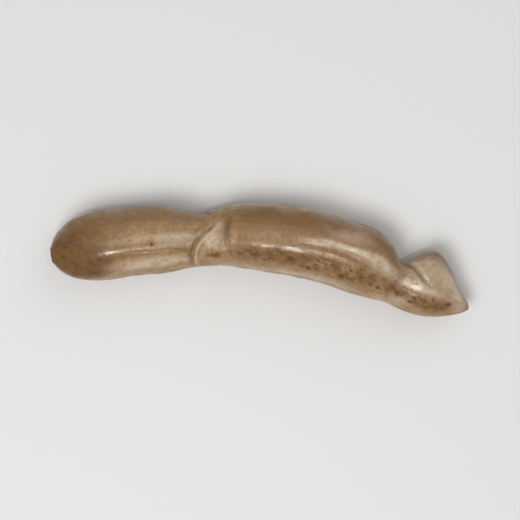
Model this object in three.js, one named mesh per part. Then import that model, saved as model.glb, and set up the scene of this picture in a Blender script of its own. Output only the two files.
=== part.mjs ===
// A young tamarind pod, picked and lying on its flatter side.
// Millimetres, +Z up. X runs from the round end to the pointed end, Y towards the outside of the bend.
// The origin is under the middle of the pod, on the surface that it lies on.

import * as THREE from 'three';
import { LoftGeometry } from 'three/addons/geometries/LoftGeometry.js';

// Length from the round end to the point, measured along X.
const POD_LENGTH = 125.4;

// The three swellings with the waists between them, as sections across the pod.
// along: distance from the round end. bend: how far the middle line stands to the side.
// outer, inner: half widths on the outside and the inside of the bend. deep: half thickness.
const SECTIONS = [
  { along: 0, bend: -0.6, outer: 10.1, inner: 10.1, deep: 8.3 },
  { along: 17, bend: 2.9, outer: 10.2, inner: 10.1, deep: 8.6 },
  { along: 34, bend: 4.85, outer: 9.4, inner: 10.0, deep: 8.3 },
  { along: 45, bend: 5.55, outer: 6.7, inner: 9.2, deep: 6.8 },
  { along: 53, bend: 5.75, outer: 8.7, inner: 9.3, deep: 7.7 },
  { along: 62, bend: 5.5, outer: 9.4, inner: 10.2, deep: 8.4 },
  { along: 75, bend: 4.0, outer: 9.6, inner: 10.5, deep: 8.7 },
  { along: 86, bend: 1.0, outer: 9.4, inner: 10.4, deep: 8.7 },
  { along: 94, bend: -2.45, outer: 9.9, inner: 9.9, deep: 8.3 },
  { along: 99, bend: -4.8, outer: 8.2, inner: 9.2, deep: 7.3 },
  { along: 103.5, bend: -6.8, outer: 4.6, inner: 8.3, deep: 6.2 },
  { along: 107, bend: -8.3, outer: 9.0, inner: 8.4, deep: 6.5 },
  { along: 111, bend: -10.1, outer: 11.6, inner: 8.2, deep: 6.6 },
  { along: 116, bend: -12.3, outer: 8.9, inner: 7.0, deep: 5.5 },
  { along: 121, bend: -14.5, outer: 4.0, inner: 4.4, deep: 3.5 },
  { along: POD_LENGTH, bend: -16.4, outer: 1.1, inner: 1.1, deep: 1.1 },
];
const COLUMNS = ['bend', 'outer', 'inner', 'deep'];

// How far from each end the girth is rounded off: a dome, and the blunt point.
const DOME_REACH = 14;
const TIP_REACH = 1.6;

// Height of the middle line over the surface, and how far it sinks towards the point.
const REST_HEIGHT = 8.2;
const POINT_SINK = 1.6;
const SINK_START = 92;

// Section outline: 2 is an ellipse, more is fuller at the shoulders.
const FULLNESS = 2.25;

// Ridges along the pod, and grooves where the height is below zero.
// angle, atPoint: degrees round the section, on the body and at the point.
// 0 is the outside of the bend, 90 the top.
const RIDGES = [
  { angle: 0, atPoint: 0, height: 0.45, spread: 8 },
  { angle: 180, atPoint: 180, height: 0.5, spread: 9 },
  { angle: 103, atPoint: 88, height: 0.62, spread: 8 },
  { angle: 120, atPoint: 107, height: -0.26, spread: 9 },
  { angle: 252, atPoint: 262, height: 0.35, spread: 10 },
];
const SWING_START = 66;

// The ridges rise out of the dome from the first place to the second, and keep a share at the point.
const RIDGE_FOOT = 8;
const RIDGE_FULL = 20;
const RIDGE_LEFT_AT_POINT = 0.45;

// They all but vanish at the first waist.
const RIDGE_CALM = { along: 49, spread: 12, share: 0.92 };

// Seeds that show as low swellings on both broad faces.
const SEED_PLACES = [14, 32, 60, 75, 90, 112];
const SEED_SWELL = 0.42;
const SEED_SPREAD = 5.2;

// Creases where the skin folds at the two waists.
// through: places on the crease, as distance along the pod and degrees round it.
const CREASES = [
  {
    through: [[49.6, 62], [47.6, 80], [45, 93], [43.3, 105], [42.3, 121], [42.1, 146], [42.8, 168]],
    depth: 0.6,
  },
  { through: [[53.5, 60], [52.6, 86], [53.2, 112]], depth: 0.35 },
  { through: [[43.5, -42], [45.5, -4], [48.5, 44]], depth: 0.4 },
  { through: [[49.5, -30], [50.5, 6], [50, 36]], depth: 0.3 },
  { through: [[42.5, 205], [46, 250], [48, 305]], depth: 0.55 },
  { through: [[50.5, 176], [49.5, 222], [51.5, 262]], depth: 0.35 },
  { through: [[102.6, 2], [104.2, 34], [105.8, 54], [108.4, 73], [111, 82], [113.2, 86]], depth: 0.8 },
  { through: [[103.6, 62], [104, 94], [102.6, 134], [104, 176]], depth: 0.35 },
  { through: [[102, 340], [104.5, 286], [103, 236], [104.8, 196]], depth: 0.5 },
];

// Lips of skin that stand up beside a crease.
const LIPS = [
  {
    through: [[50.9, 66], [48.9, 81], [46.3, 93], [44.5, 105], [43.5, 121], [43.3, 146], [44, 166]],
    height: 0.4,
  },
  { through: [[103.6, 3], [105.1, 34], [106.7, 54], [109.3, 73], [112, 81.5], [114.4, 85]], height: 0.3 },
];

// How wide a crease or a lip is, how it runs out at its ends, and the steps of its curve between places.
const FOLD_SPREAD = 0.9;
const FOLD_TAPER = 0.6;
const CURVE_STEPS = 6;

// Radius at which the skin is unrolled to measure distances over it.
const GIRTH_RADIUS = 9;

// Slow unevenness of the skin: waves along the pod that wander round it.
const LUMP_HEIGHT = 0.11;
const LUMPS = [
  { pitch: 20, wander: 2.1, start: 0 },
  { pitch: 37, wander: -1.7, start: 2.9 },
];

// Rings stand closer together at the ends and at the waists.
const SIDE_COUNT = 48;
const FIRST_RING = 0.06;
const WIDE_STEP = 1.9;
const FINE_STEP = 0.6;
const FINE_PLACES = [
  { along: 0, spread: 6 },
  { along: 48, spread: 8 },
  { along: 106, spread: 8 },
  { along: POD_LENGTH, spread: 3 },
];
const TILT_STEP = 0.5;

const FULL_TURN = 2 * Math.PI;
const bell = (distance, spread) => Math.exp(-((distance / spread) ** 2));

// Smooth values of every column of SECTIONS at any distance along the pod.
const sectionTrack = new THREE.CubicInterpolant(
  SECTIONS.map((section) => section.along),
  SECTIONS.flatMap((section) => COLUMNS.map((column) => section[column])),
  COLUMNS.length,
);

function sectionAt(along) {
  const [bend, outer, inner, deep] = sectionTrack.evaluate(along);
  return { bend, outer, inner, deep };
}

const roundOff = (share) => Math.sqrt(1 - (1 - Math.min(share, 1)) ** 2);

// Share of the girth that is left near either end.
function endShare(along) {
  return roundOff(along / DOME_REACH) * roundOff((POD_LENGTH - along) / TIP_REACH);
}

function spinePoint(along) {
  const past = Math.max(along - SINK_START, 0) / (POD_LENGTH - SINK_START);
  return new THREE.Vector3(along, sectionAt(along).bend, REST_HEIGHT - POINT_SINK * past ** 2);
}

// Signed difference of two angles in degrees.
function degreesApart(a, b) {
  return THREE.MathUtils.euclideanModulo(a - b + 180, 360) - 180;
}

// A fold as a smooth curve over the unrolled skin, in millimetres along it and round it.
function unrolledFold(through, size) {
  const places = through.map(([along, degrees]) => {
    return new THREE.Vector2(along, THREE.MathUtils.degToRad(degrees) * GIRTH_RADIUS);
  });
  const middle = (through[0][1] + through.at(-1)[1]) / 2;
  const points = new THREE.SplineCurve(places).getPoints(CURVE_STEPS * (places.length - 1));
  return { size, middle, points };
}

const creases = CREASES.map(({ through, depth }) => unrolledFold(through, depth));
const lips = LIPS.map(({ through, height }) => unrolledFold(through, height));

// What a fold adds at a place: its size on its line, and less beside it and towards its ends.
function foldSize({ size, middle, points }, along, degrees) {
  const round = THREE.MathUtils.degToRad(middle + degreesApart(degrees, middle)) * GIRTH_RADIUS;
  const place = new THREE.Vector2(along, round);
  const runs = points.length - 1;
  let nearest = Infinity;
  let passed = 0;
  for (let i = 0; i < runs; i++) {
    const run = points[i + 1].clone().sub(points[i]);
    const ahead = place.clone().sub(points[i]);
    const share = THREE.MathUtils.clamp(ahead.dot(run) / run.lengthSq(), 0, 1);
    const distance = ahead.addScaledVector(run, -share).length();
    if (distance < nearest) {
      nearest = distance;
      passed = (i + share) / runs;
    }
  }
  return size * bell(nearest, FOLD_SPREAD) * Math.sin(Math.PI * passed) ** FOLD_TAPER;
}

function ridgeHeight(along, degrees) {
  const swing = THREE.MathUtils.smoothstep(along, SWING_START, POD_LENGTH);
  const grown = THREE.MathUtils.smoothstep(along, RIDGE_FOOT, RIDGE_FULL);
  let height = 0;
  for (const ridge of RIDGES) {
    const angle = THREE.MathUtils.lerp(ridge.angle, ridge.atPoint, swing);
    height += ridge.height * bell(degreesApart(degrees, angle), ridge.spread);
  }
  const calm = RIDGE_CALM.share * bell(along - RIDGE_CALM.along, RIDGE_CALM.spread);
  return height * grown * (1 - calm) * THREE.MathUtils.lerp(1, RIDGE_LEFT_AT_POINT, swing);
}

function seedHeight(along, turn) {
  const facing = Math.sin(turn) ** 2;
  const swells = SEED_PLACES.map((place) => SEED_SWELL * bell(along - place, SEED_SPREAD));
  return facing * swells.reduce((sum, swell) => sum + swell);
}

// The tallest lip less the deepest crease.
function foldHeight(along, degrees) {
  const most = (folds) => Math.max(...folds.map((fold) => foldSize(fold, along, degrees)));
  return most(lips) - most(creases);
}

function lumpHeight(along, turn) {
  const waves = LUMPS.map(({ pitch, wander, start }) => {
    return Math.sin((FULL_TURN * along) / pitch + wander * Math.sin(turn) + start);
  });
  return LUMP_HEIGHT * waves.reduce((sum, wave) => sum + wave);
}

// One closed ring of points across the pod, square to its middle line.
function ring(along) {
  const { outer, inner, deep } = sectionAt(along);
  const share = endShare(along);
  const reliefShare = share * Math.min(deep / REST_HEIGHT, 1);
  const centre = spinePoint(along);
  const tangent = spinePoint(along + TILT_STEP).sub(spinePoint(along - TILT_STEP)).setZ(0).normalize();
  const side = new THREE.Vector3(-tangent.y, tangent.x, 0);
  const points = [];
  for (let i = 0; i < SIDE_COUNT; i++) {
    const turn = (FULL_TURN * i) / SIDE_COUNT;
    const degrees = THREE.MathUtils.radToDeg(turn);
    const c = Math.cos(turn);
    const s = Math.sin(turn);
    const across = Math.sign(c) * Math.abs(c) ** (2 / FULLNESS);
    const up = Math.sign(s) * Math.abs(s) ** (2 / FULLNESS);
    const raised = ridgeHeight(along, degrees) + seedHeight(along, turn) + lumpHeight(along, turn);
    const swell = (raised + foldHeight(along, degrees)) * reliefShare;
    const point = centre.clone().addScaledVector(side, across * ((c > 0 ? outer : inner) * share + swell));
    point.z = Math.max(point.z + up * (deep * share + swell), 0);
    points.push(point);
  }
  return points;
}

// Distances of the rings along the pod.
function ringPlaces() {
  const places = [];
  let along = FIRST_RING;
  while (along < POD_LENGTH - FIRST_RING) {
    places.push(along);
    const fine = Math.max(...FINE_PLACES.map((place) => bell(along - place.along, place.spread)));
    along += THREE.MathUtils.lerp(WIDE_STEP, FINE_STEP, fine);
  }
  places.push(POD_LENGTH - FIRST_RING);
  return places;
}

function podSkin() {
  const sections = ringPlaces().map(ring);
  const geometry = new LoftGeometry(sections, { capStart: true, capEnd: true });
  geometry.computeBoundingBox();
  const middle = geometry.boundingBox.getCenter(new THREE.Vector3());
  return geometry.translate(-middle.x, -middle.y, 0);
}

const skinMaterial = new THREE.MeshStandardMaterial({ color: 0x8c7050, roughness: 0.5, metalness: 0 });

const pod = new THREE.Mesh(podSkin(), skinMaterial);
pod.name = 'pod';

const tamarindPod = new THREE.Group();
tamarindPod.add(pod);

export default tamarindPod;
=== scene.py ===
# A young tamarind pod lying on a pale table, seen from straight above.
# Metres, +Z up. X runs from the round end to the pointed end, Y towards the outside of the bend.

import math
import random

import bpy
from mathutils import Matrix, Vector


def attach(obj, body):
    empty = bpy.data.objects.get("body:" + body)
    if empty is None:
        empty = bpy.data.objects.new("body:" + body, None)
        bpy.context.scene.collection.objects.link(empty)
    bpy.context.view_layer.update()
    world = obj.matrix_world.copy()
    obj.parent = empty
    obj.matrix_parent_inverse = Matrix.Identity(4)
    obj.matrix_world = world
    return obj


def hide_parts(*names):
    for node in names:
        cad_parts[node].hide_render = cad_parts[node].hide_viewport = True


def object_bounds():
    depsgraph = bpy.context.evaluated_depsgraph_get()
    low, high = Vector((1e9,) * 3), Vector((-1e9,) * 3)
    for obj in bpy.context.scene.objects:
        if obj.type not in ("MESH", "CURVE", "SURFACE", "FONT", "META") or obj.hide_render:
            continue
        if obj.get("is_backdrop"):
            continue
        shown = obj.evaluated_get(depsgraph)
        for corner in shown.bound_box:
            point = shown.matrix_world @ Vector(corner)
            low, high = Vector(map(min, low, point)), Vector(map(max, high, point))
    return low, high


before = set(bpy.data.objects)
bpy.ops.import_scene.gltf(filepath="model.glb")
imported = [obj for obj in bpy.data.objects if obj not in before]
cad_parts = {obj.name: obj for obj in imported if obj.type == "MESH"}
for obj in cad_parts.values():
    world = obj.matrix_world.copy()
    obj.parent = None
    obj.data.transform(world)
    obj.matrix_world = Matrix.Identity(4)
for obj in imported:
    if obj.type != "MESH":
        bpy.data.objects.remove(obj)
cad_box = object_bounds()

MM = 0.001

# Length from the round end to the point.
POD_LENGTH = 125.4

# Sections across the pod, in millimetres: distance from the round end, how far the middle line
# stands to the side, half widths on the outside and the inside of the bend, half thickness.
SECTIONS = (
    (0, -0.6, 10.1, 10.1, 8.3),
    (17, 2.9, 10.2, 10.1, 8.6),
    (34, 4.85, 9.4, 10.0, 8.3),
    (45, 5.55, 6.7, 9.2, 6.8),
    (53, 5.75, 8.7, 9.3, 7.7),
    (62, 5.5, 9.4, 10.2, 8.4),
    (75, 4.0, 9.6, 10.5, 8.7),
    (86, 1.0, 9.4, 10.4, 8.7),
    (94, -2.45, 9.9, 9.9, 8.3),
    (99, -4.8, 8.2, 9.2, 7.3),
    (103.5, -6.8, 4.6, 8.3, 6.2),
    (107, -8.3, 9.0, 8.4, 6.5),
    (111, -10.1, 11.6, 8.2, 6.6),
    (116, -12.3, 8.9, 7.0, 5.5),
    (121, -14.5, 4.0, 4.4, 3.5),
    (POD_LENGTH, -16.4, 1.1, 1.1, 1.1),
)
# Lengths that the round end and the point are rounded over.
DOME_REACH = 14
TIP_REACH = 1.6
# The middle line's height, how far the point sinks below it, and from where.
REST_HEIGHT = 8.2
POINT_SINK = 1.6
SINK_START = 92
# From here on the ridges swing over to their angles at the point.
SWING_START = 66
# The section's outline: 2 is an ellipse, more is fuller.
FULLNESS = 2.25
# The radius that the skin is unrolled at.
GIRTH_RADIUS = 9

# Ridges and grooves along the pod: angle on the body, angle at the point, height, spread in degrees.
# Angles go round the section: 0 is the outside of the bend, 90 the top.
RIDGES = (
    (0, 0, 0.45, 8),
    (180, 180, 0.5, 9),
    (103, 88, 0.62, 8),
    (120, 107, -0.26, 9),
    (252, 262, 0.35, 10),
)
RIDGE_START = (8, 20)
RIDGE_STRAY = 7
RIDGE_LEFT_AT_POINT = 0.45
# Where they lie low: place, reach, share of the height that is lost.
RIDGE_CALM = (49, 12, 0.92)
# Their height comes and goes: size of the change, how much, and its mean, least and most.
UNEVEN_SIZE = 13
UNEVEN = 3.2
RIDGE_MEAN = 0.85
RIDGE_LEAST = 0.15
RIDGE_MOST = 1.25
STRAY_SIZE = 17

# The round scar that the stalk left: a hollow with a low rim, in millimetres.
SCAR_DEPTH = 0.75
SCAR_REACH = 1.5
SCAR_RIM_HEIGHT = 0.3
SCAR_RIM_RADIUS = 2.3
SCAR_RIM_SPREAD = 0.55
FRAY_SIZE = 4
FRAY = 1.6

# How brown the rim and the point are, and how far back from the point it goes.
RIM_BROWN = 0.6
POINT_BROWN = 0.5
POINT_REACH = 1.3

# Seeds that swell the skin.
SEED_PLACES = (14, 32, 60, 75, 90, 112)
SEED_SWELL = 0.42
SEED_SPREAD = 5.2

# Creases at the waists: depth, then places as distance along the pod and degrees round it.
CREASES = (
    (0.6, (49.6, 62), (47.6, 80), (45, 93), (43.3, 105), (42.3, 121), (42.1, 146), (42.8, 168)),
    (0.35, (53.5, 60), (52.6, 86), (53.2, 112)),
    (0.4, (43.5, -42), (45.5, -4), (48.5, 44)),
    (0.3, (49.5, -30), (50.5, 6), (50, 36)),
    (0.55, (42.5, 205), (46, 250), (48, 305)),
    (0.35, (50.5, 176), (49.5, 222), (51.5, 262)),
    (0.8, (102.6, 2), (104.2, 34), (105.8, 54), (108.4, 73), (111, 82), (113.2, 86)),
    (0.35, (103.6, 62), (104, 94), (102.6, 134), (104, 176)),
    (0.5, (102, 340), (104.5, 286), (103, 236), (104.8, 196)),
)

# Lips of skin that stand up, two beside creases and one along the pale streak, with a painted highlight
# along their tops: height, then places.
LIPS = (
    (0.4, (50.9, 66), (48.9, 81), (46.3, 93), (44.5, 105), (43.5, 121), (43.3, 146), (44, 166)),
    (0.3, (103.6, 3), (105.1, 34), (106.7, 54), (109.3, 73), (112, 81.5), (114.4, 85)),
    (
        0.24,
        (78, 85), (80.2, 80), (84.2, 82), (86.5, 84),
        (89.9, 80), (92.6, 79), (94.8, 82), (97.5, 83),
    ),
)
CREASE_SPREAD = 0.7
LIP_SPREAD = 0.5
WRINKLE_SPREAD = 0.34
# A crease's own low lips: their share of its depth, and how many spreads away they stand.
LIP_SHARE = 0.3
LIP_PLACE = 1.9
# How soon a crease gets its full painted shade as it deepens, and how it shallows to its ends.
FOLD_TONE = 2.2
FOLD_TAPER = 0.6

# Fine furrows, painted darker in their grooves as painted shade: beside the ridge, round the pale
# streak, and small loops in the scurf.
FURROWS = (
    (
        0.32,
        (20, 109), (24, 106.5), (29, 107.5), (35, 107.5),
        (38, 109.5), (40.2, 115), (41.7, 128), (42.2, 141),
    ),
    (0.16, (44.5, 118), (44.2, 126), (44.3, 134), (44.6, 143)),
    (0.14, (70, 97), (79, 93), (88, 93), (97, 95), (101, 101)),
    (0.12, (73, 80), (83, 76), (93, 76), (99, 80)),
    (0.1, (81, 104), (85, 100), (90, 103), (92, 111)),
    (0.1, (84, 114), (88, 108), (93, 112), (95, 121)),
    (0.09, (88, 121), (91, 117), (95, 121), (96, 128)),
    (0.12, (55.4, 68), (56.6, 86), (55.2, 106)),
    (0.12, (20, 250), (30, 246), (40, 250)),
    (0.12, (62, 236), (76, 240), (90, 238)),
    (0.1, (106, 118), (112, 122), (118, 118)),
)

# Fine wrinkles: where they gather, how far they stray from there, how many, which way they run.
WRINKLE_FIELDS = (
    ("round", 48, 3.6, 30),
    ("round", 103.5, 2.4, 20),
    ("along", 22, 9, 14),
    ("along", 78, 16, 26),
    ("along", 114, 4.5, 14),
)
WRINKLE_DEPTHS = {"round": (0.04, 0.11), "along": (0.02, 0.07)}
WRINKLE_REACHES = {"round": (10, 34), "along": (3, 9)}
WRINKLE_SLANT = 0.9
WRINKLE_BOW = 0.6
WRINKLE_SEED = 41
CURVE_STEPS = 6

# The skin's small relief: sizes in millimetres across the pod, and the ripples' turn and wander.
LUMP_SIZE = 11
STREAK_WIDTH = 1.1
STREAK_SQUEEZE = 0.09
GRAIN_SIZE = 0.9
CRUST_SIZE = 1.3
WANDER_SIZE = 7
WANDER = 26
RIPPLE_TURN = 3.9

# Patches of colour on the skin: distance along the pod, degrees round it, reach along, reach round,
# strength.
SCURF_PATCHES = (
    (60, 118, 9, 15, 0.75),
    (74, 121, 10, 14, 1.0),
    (87, 118, 9, 18, 0.8),
    (97, 112, 6, 24, 0.5),
    (49, 130, 3.2, 8, 0.75),
    (104.5, 118, 4, 14, 0.6),
    (110.5, 117, 4.5, 18, 0.6),
    (112, 26, 4, 16, 0.25),
    (115, 124, 5, 16, 0.45),
    (117, 110, 3.5, 20, 0.5),
    (9, 112, 8, 32, 0.7),
    (3, 80, 5, 70, 0.35),
    (20, 240, 12, 34, 0.8),
    (66, 286, 18, 26, 0.8),
    (92, 222, 12, 30, 0.7),
    (30, 335, 12, 20, 0.5),
    (20, 344, 9, 13, 0.75),
    (60, 338, 10, 15, 0.75),
    (76, 350, 9, 8, 0.7),
    (94, 334, 8, 18, 0.75),
    (113, 328, 5, 18, 0.65),
    (112, 262, 8, 40, 0.7),
)
# Pale bloom on the skin, together with painted highlights on the pale streak and the ridge near the
# point, and painted reflected light along the lower edge.
BLOOM_AND_HIGHLIGHT_PATCHES = (
    (31, 134, 13, 13, 0.9),
    (29, 90, 13, 6, 0.42),
    (42, 90, 7, 7, 0.4),
    (79.5, 88.5, 4.5, 4, 0.9),
    (87, 83, 5, 4.5, 1.0),
    (94, 80, 4, 5, 0.8),
    (98, 84, 5, 14, 0.85),
    (48.2, 100, 2.4, 12, 0.6),
    (38, 100, 6, 12, 0.35),
    (109.5, 92, 5, 5, 0.8),
    (113, 95, 9, 50, 0.3),
    (76, 162, 26, 14, 0.7),
    (110, 50, 7, 36, 0.42),
    (119.8, 54, 3, 26, 0.95),
    (116.5, 48, 3, 16, 0.7),
    (122.8, 95, 2.2, 60, 0.35),
    (107, 128, 4, 14, 0.5),
    (38, 262, 14, 22, 0.6),
    (84, 318, 20, 20, 0.55),
)
OCHRE_PATCHES = (
    (2, 100, 10, 60, 1.0),
    (10, 120, 8, 34, 0.95),
    (6, 270, 10, 70, 0.8),
    (118, 108, 3, 18, 0.15),
)
# Tawny patches: the skin's own tone in places, and painted shade on the upper flank and in the hollow
# beside the second waist crease.
TAWNY_AND_SHADE_PATCHES = (
    (14, 58, 14, 30, 0.75),
    (20, 117, 8, 12, 0.7),
    (36, 52, 12, 22, 0.5),
    (62, 56, 9, 26, 0.85),
    (78, 58, 12, 24, 0.9),
    (93, 44, 10, 26, 0.7),
    (101, 78, 6, 26, 0.5),
    (87, 96, 7, 3.6, 0.9),
    (118.4, 103, 2.2, 18, 0.7),
    (52.8, 78, 1.5, 16, 0.9),
    (109.5, 27, 2.6, 13, 0.9),
    (60, 205, 22, 26, 0.7),
    (28, 292, 14, 26, 0.8),
    (86, 268, 14, 26, 0.6),
    (113, 30, 7, 20, 0.4),
)
PINK_PATCHES = (
    (49.8, 72, 2.2, 15, 1.0),
    # This patch on the ridge near the point is a painted highlight; the others are the skin's own pink.
    (107, 90, 5, 10, 0.9),
    (89, 52, 4.5, 26, 0.7),
    (104, 150, 5, 24, 0.7),
    (123.4, 92, 2, 60, 0.8),
    (85.5, 66, 5, 8, 0.4),
    (82, 150, 18, 10, 0.5),
)
RIPPLE_PATCHES = (
    (84, 112, 9, 24, 1.0),
    (24, 228, 12, 30, 0.7),
)
DRY_PATCHES = (
    (48.5, 100, 4, 22, 1.0),
    (58, 103, 4.5, 10, 0.9),
    (69, 102, 2, 8, 0.6),
    (106, 120, 5, 12, 1.0),
    (109, 74, 3, 8, 0.8),
    (8, 120, 8, 40, 0.6),
    (28, 103, 5, 7, 0.5),
)
WET_PATCHES = (
    (18, 102, 3.4, 8, 1.0),
    (65, 103, 2, 6, 0.7),
    (76, 100, 5, 7, 1.0),
    (87, 83, 7, 6, 0.5),
    (110.5, 91, 4, 7, 0.8),
)
DARK_DOTS = (
    (30.6, 98, 0.55, 3.5, 1.0),
    (50.5, 62, 0.35, 2.4, 0.8),
    (14.4, 112, 0.8, 5, 0.9),
    (72.5, 121, 1.7, 5, 0.95),
    (78.8, 134, 0.8, 4, 0.95),
    (76.5, 131, 1.6, 3.5, 0.75),
    (81, 115, 0.5, 3, 0.75),
    (85.3, 114, 0.55, 3.2, 0.75),
    (91, 111, 0.6, 3.5, 0.75),
    (97.5, 123, 0.7, 5, 0.8),
    (64.3, 131, 0.5, 4, 0.7),
    (119.5, 101, 0.7, 6, 0.72),
    (118.5, 106, 0.8, 5, 0.62),
    (119.4, 111, 0.5, 5, 0.56),
    (104.9, 120, 1.1, 7, 0.8),
    (109.2, 128, 0.9, 5, 0.75),
    (112.6, 111, 0.8, 5, 0.6),
    (114.6, 103, 0.6, 4.5, 0.7),
    (116.9, 133, 0.7, 6, 0.65),
    (99.6, 124, 0.9, 5, 0.7),
    (66, 250, 0.8, 5, 0.9),
    (25, 340, 0.8, 5, 0.8),
    (57, 346, 0.6, 4, 0.75),
    (72, 341, 1, 6, 0.8),
    (90, 347, 0.7, 4, 0.8),
)

PATCH_LISTS = {
    "scurf": SCURF_PATCHES,
    "bloom": BLOOM_AND_HIGHLIGHT_PATCHES,
    "tawny": TAWNY_AND_SHADE_PATCHES,
    "ochre": OCHRE_PATCHES,
    "pink": PINK_PATCHES,
    "ripple": RIPPLE_PATCHES,
    "dry": DRY_PATCHES,
    "wet": WET_PATCHES,
    "dot": DARK_DOTS,
}

# Values on the points: of the spine, of the skin for its material, and of the flakes for theirs.
SPINE_VALUES = (
    "centre", "side", "along", "outer", "inner", "deep", "relief_share", "swing", "ridge_share",
    "scar_radius", "seed_swell", "turn",
)
SKIN_VALUES = ("straight_place", "crest", "fold", "wrinkle", "lip", "scar", *PATCH_LISTS)
FLAKE_VALUES = ("tone",)

# The flakes: their clumps in millimetres, the few that lie elsewhere, and the gap to the table.
CLUMP_SIZE = 2.6
CLUMP_GAIN = 9
STRAY_FLAKES = 0.0018
TABLE_GAP = 0.5 * MM
# Their form, and how ragged their edges are.
FLAKE_SIDES = 9
FLAKE_TOP_SHARE = 0.55
FLAKE_SUNK_SHARE = 0.4
RAGGED_SIZE = 0.3 * MM
RAGGED_REACH = 0.22 * MM

# Specks as shares of their cells, and the soft edge of crumbs.
SPECK_LEAST = 0.16
SPECK_SPAN = 0.42
SPECK_CORE = 0.45
CRUMB_EDGE = 0.14

# The mesh of the skin: rings round the dome, along the body and round the point, and faces round.
DOME_RINGS = 64
TIP_RINGS = 9
BODY_STEP = 0.238
SIDE_COUNT = 180

# The camera's picture is this wide where the pod lies.
LENS = 90
SENSOR = 36
PICTURE_WIDTH = 156 * MM
CLIP_START = 10 * MM

# Lights, all aimed at the middle of the pod: name, place, size, power.
LIGHTS = (
    ("key_light", (-0.25, -0.35, 0.8), (0.5, 0.35), 5.4),
    ("line_light", (0.05, -0.12, 0.95), (0.6, 0.05), 1.5),
    ("fill_light", (0.5, 0.5, 0.6), (0.8, 0.8), 1.8),
)
ROOM_TONE = (1, 0.985, 0.965, 1)
ROOM_STRENGTH = 0.38
TABLE_HALF = 3

SKIN_ROUGHNESS = 0.38
LEAST_DAMP = 0.03


def shade(red, green, blue):
    """A colour for a shader, from 0 to 255 as seen."""
    return tuple((part / 255) ** 2.2 for part in (red, green, blue)) + (1,)


# Colours of the skin, some used as painted shade or painted highlight, and of the table.
TAN_DEEP = shade(124, 95, 60)
TAN_LIGHT = shade(160, 130, 93)
TAN_STREAK = shade(174, 146, 109)
# Used for the skin's own tawny tone and for painted shade on the upper flank.
TAWNY = shade(108, 77, 41)
OCHRE = shade(84, 55, 23)
OCHRE_LIGHT = shade(138, 101, 61)
# Pale bloom, also used as painted highlight and painted reflected light.
BLOOM_AND_HIGHLIGHT = shade(188, 170, 148)
PINK = shade(172, 144, 122)
SCURF = shade(112, 79, 40)
SCURF_DARK = shade(70, 45, 20)
SCURF_BROWN = shade(86, 58, 30)
# Painted shade for the grooves of the creases.
FOLD_SHADE = shade(82, 57, 33)
SCAR_BROWN = shade(76, 50, 29)
# Painted highlight, laid along the ridge crests and the tops of the lips.
RIDGE_HIGHLIGHT = shade(194, 172, 140)
TABLE_PALE = shade(208, 207, 206)


def socket(sockets, name):
    """The socket of that name which the node's settings leave in use."""
    return next(found for found in sockets if found.name == name and found.enabled)


def feed(tree, target, value):
    """Gives an input a value, or links it to another node's output."""
    if isinstance(value, bpy.types.NodeSocket):
        tree.links.new(value, target)
    else:
        target.default_value = value


def node(tree, kind, inputs=None, **settings):
    """A new node, with its settings, and its inputs by name."""
    made = tree.nodes.new(kind)
    for name, value in settings.items():
        setattr(made, name, value)
    for name, value in (inputs or {}).items():
        feed(tree, socket(made.inputs, name), value)
    return made


def calc(tree, operation, *terms):
    """The result of one Math node."""
    made = tree.nodes.new("ShaderNodeMath")
    made.operation = operation
    for target, value in zip(made.inputs, terms):
        feed(tree, target, value)
    return made.outputs[0]


def joined(tree, operation, values):
    """Several outputs or numbers, joined by Math nodes of one operation."""
    made = values[0]
    for value in values[1:]:
        made = calc(tree, operation, made, value)
    return made


def times(tree, *values):
    """The product of outputs and numbers."""
    return joined(tree, "MULTIPLY", values)


def total(tree, values):
    """The sum of outputs."""
    return joined(tree, "ADD", values)


def clamped(output):
    """A Math node's output, kept between 0 and 1."""
    output.node.use_clamp = True
    return output


def vector_calc(tree, operation, *terms):
    """The vector that one Vector Math node gives."""
    made = tree.nodes.new("ShaderNodeVectorMath")
    made.operation = operation
    for target, value in zip(made.inputs, terms):
        feed(tree, target, value)
    return made.outputs["Vector"]


def scaled(tree, vector, length):
    """A vector times a number."""
    made = node(tree, "ShaderNodeVectorMath", operation="SCALE")
    feed(tree, made.inputs[0], vector)
    feed(tree, made.inputs["Scale"], length)
    return made.outputs["Vector"]


def vector(tree, **parts):
    """A vector from its X, Y and Z."""
    return node(tree, "ShaderNodeCombineXYZ", parts).outputs["Vector"]


def parts_of(tree, whole):
    """The X, Y and Z of a vector."""
    return node(tree, "ShaderNodeSeparateXYZ", {"Vector": whole}).outputs


def new_group(name, kind, inputs, outputs):
    """A node group with named sockets: the tree, its inputs and its output node."""
    tree = bpy.data.node_groups.new(name, kind)
    for label, sort, value in inputs:
        made = tree.interface.new_socket(label, in_out="INPUT", socket_type="NodeSocket" + sort)
        if value is not None:
            made.default_value = value
    for label, sort in outputs:
        tree.interface.new_socket(label, in_out="OUTPUT", socket_type="NodeSocket" + sort)
    return tree, tree.nodes.new("NodeGroupInput").outputs, tree.nodes.new("NodeGroupOutput")


def use(tree, group, inputs):
    """The outputs of a node that holds the group, with its inputs by name."""
    kind = "GeometryNodeGroup" if tree.bl_idname == "GeometryNodeTree" else "ShaderNodeGroup"
    made = tree.nodes.new(kind)
    made.node_tree = group
    for name, value in inputs.items():
        feed(tree, made.inputs[name], value)
    return made.outputs


def named(tree, name, sort="FLOAT"):
    """A named attribute of the mesh, inside a geometry tree."""
    made = node(tree, "GeometryNodeInputNamedAttribute", {"Name": name}, data_type=sort)
    return socket(made.outputs, "Attribute")


def store(tree, geometry, name, value, sort="FLOAT", **settings):
    """The geometry with a value kept on it under a name."""
    inputs = {"Geometry": geometry, "Name": name, "Value": value}
    made = node(tree, "GeometryNodeStoreNamedAttribute", inputs, data_type=sort, **settings)
    return made.outputs["Geometry"]


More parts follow.
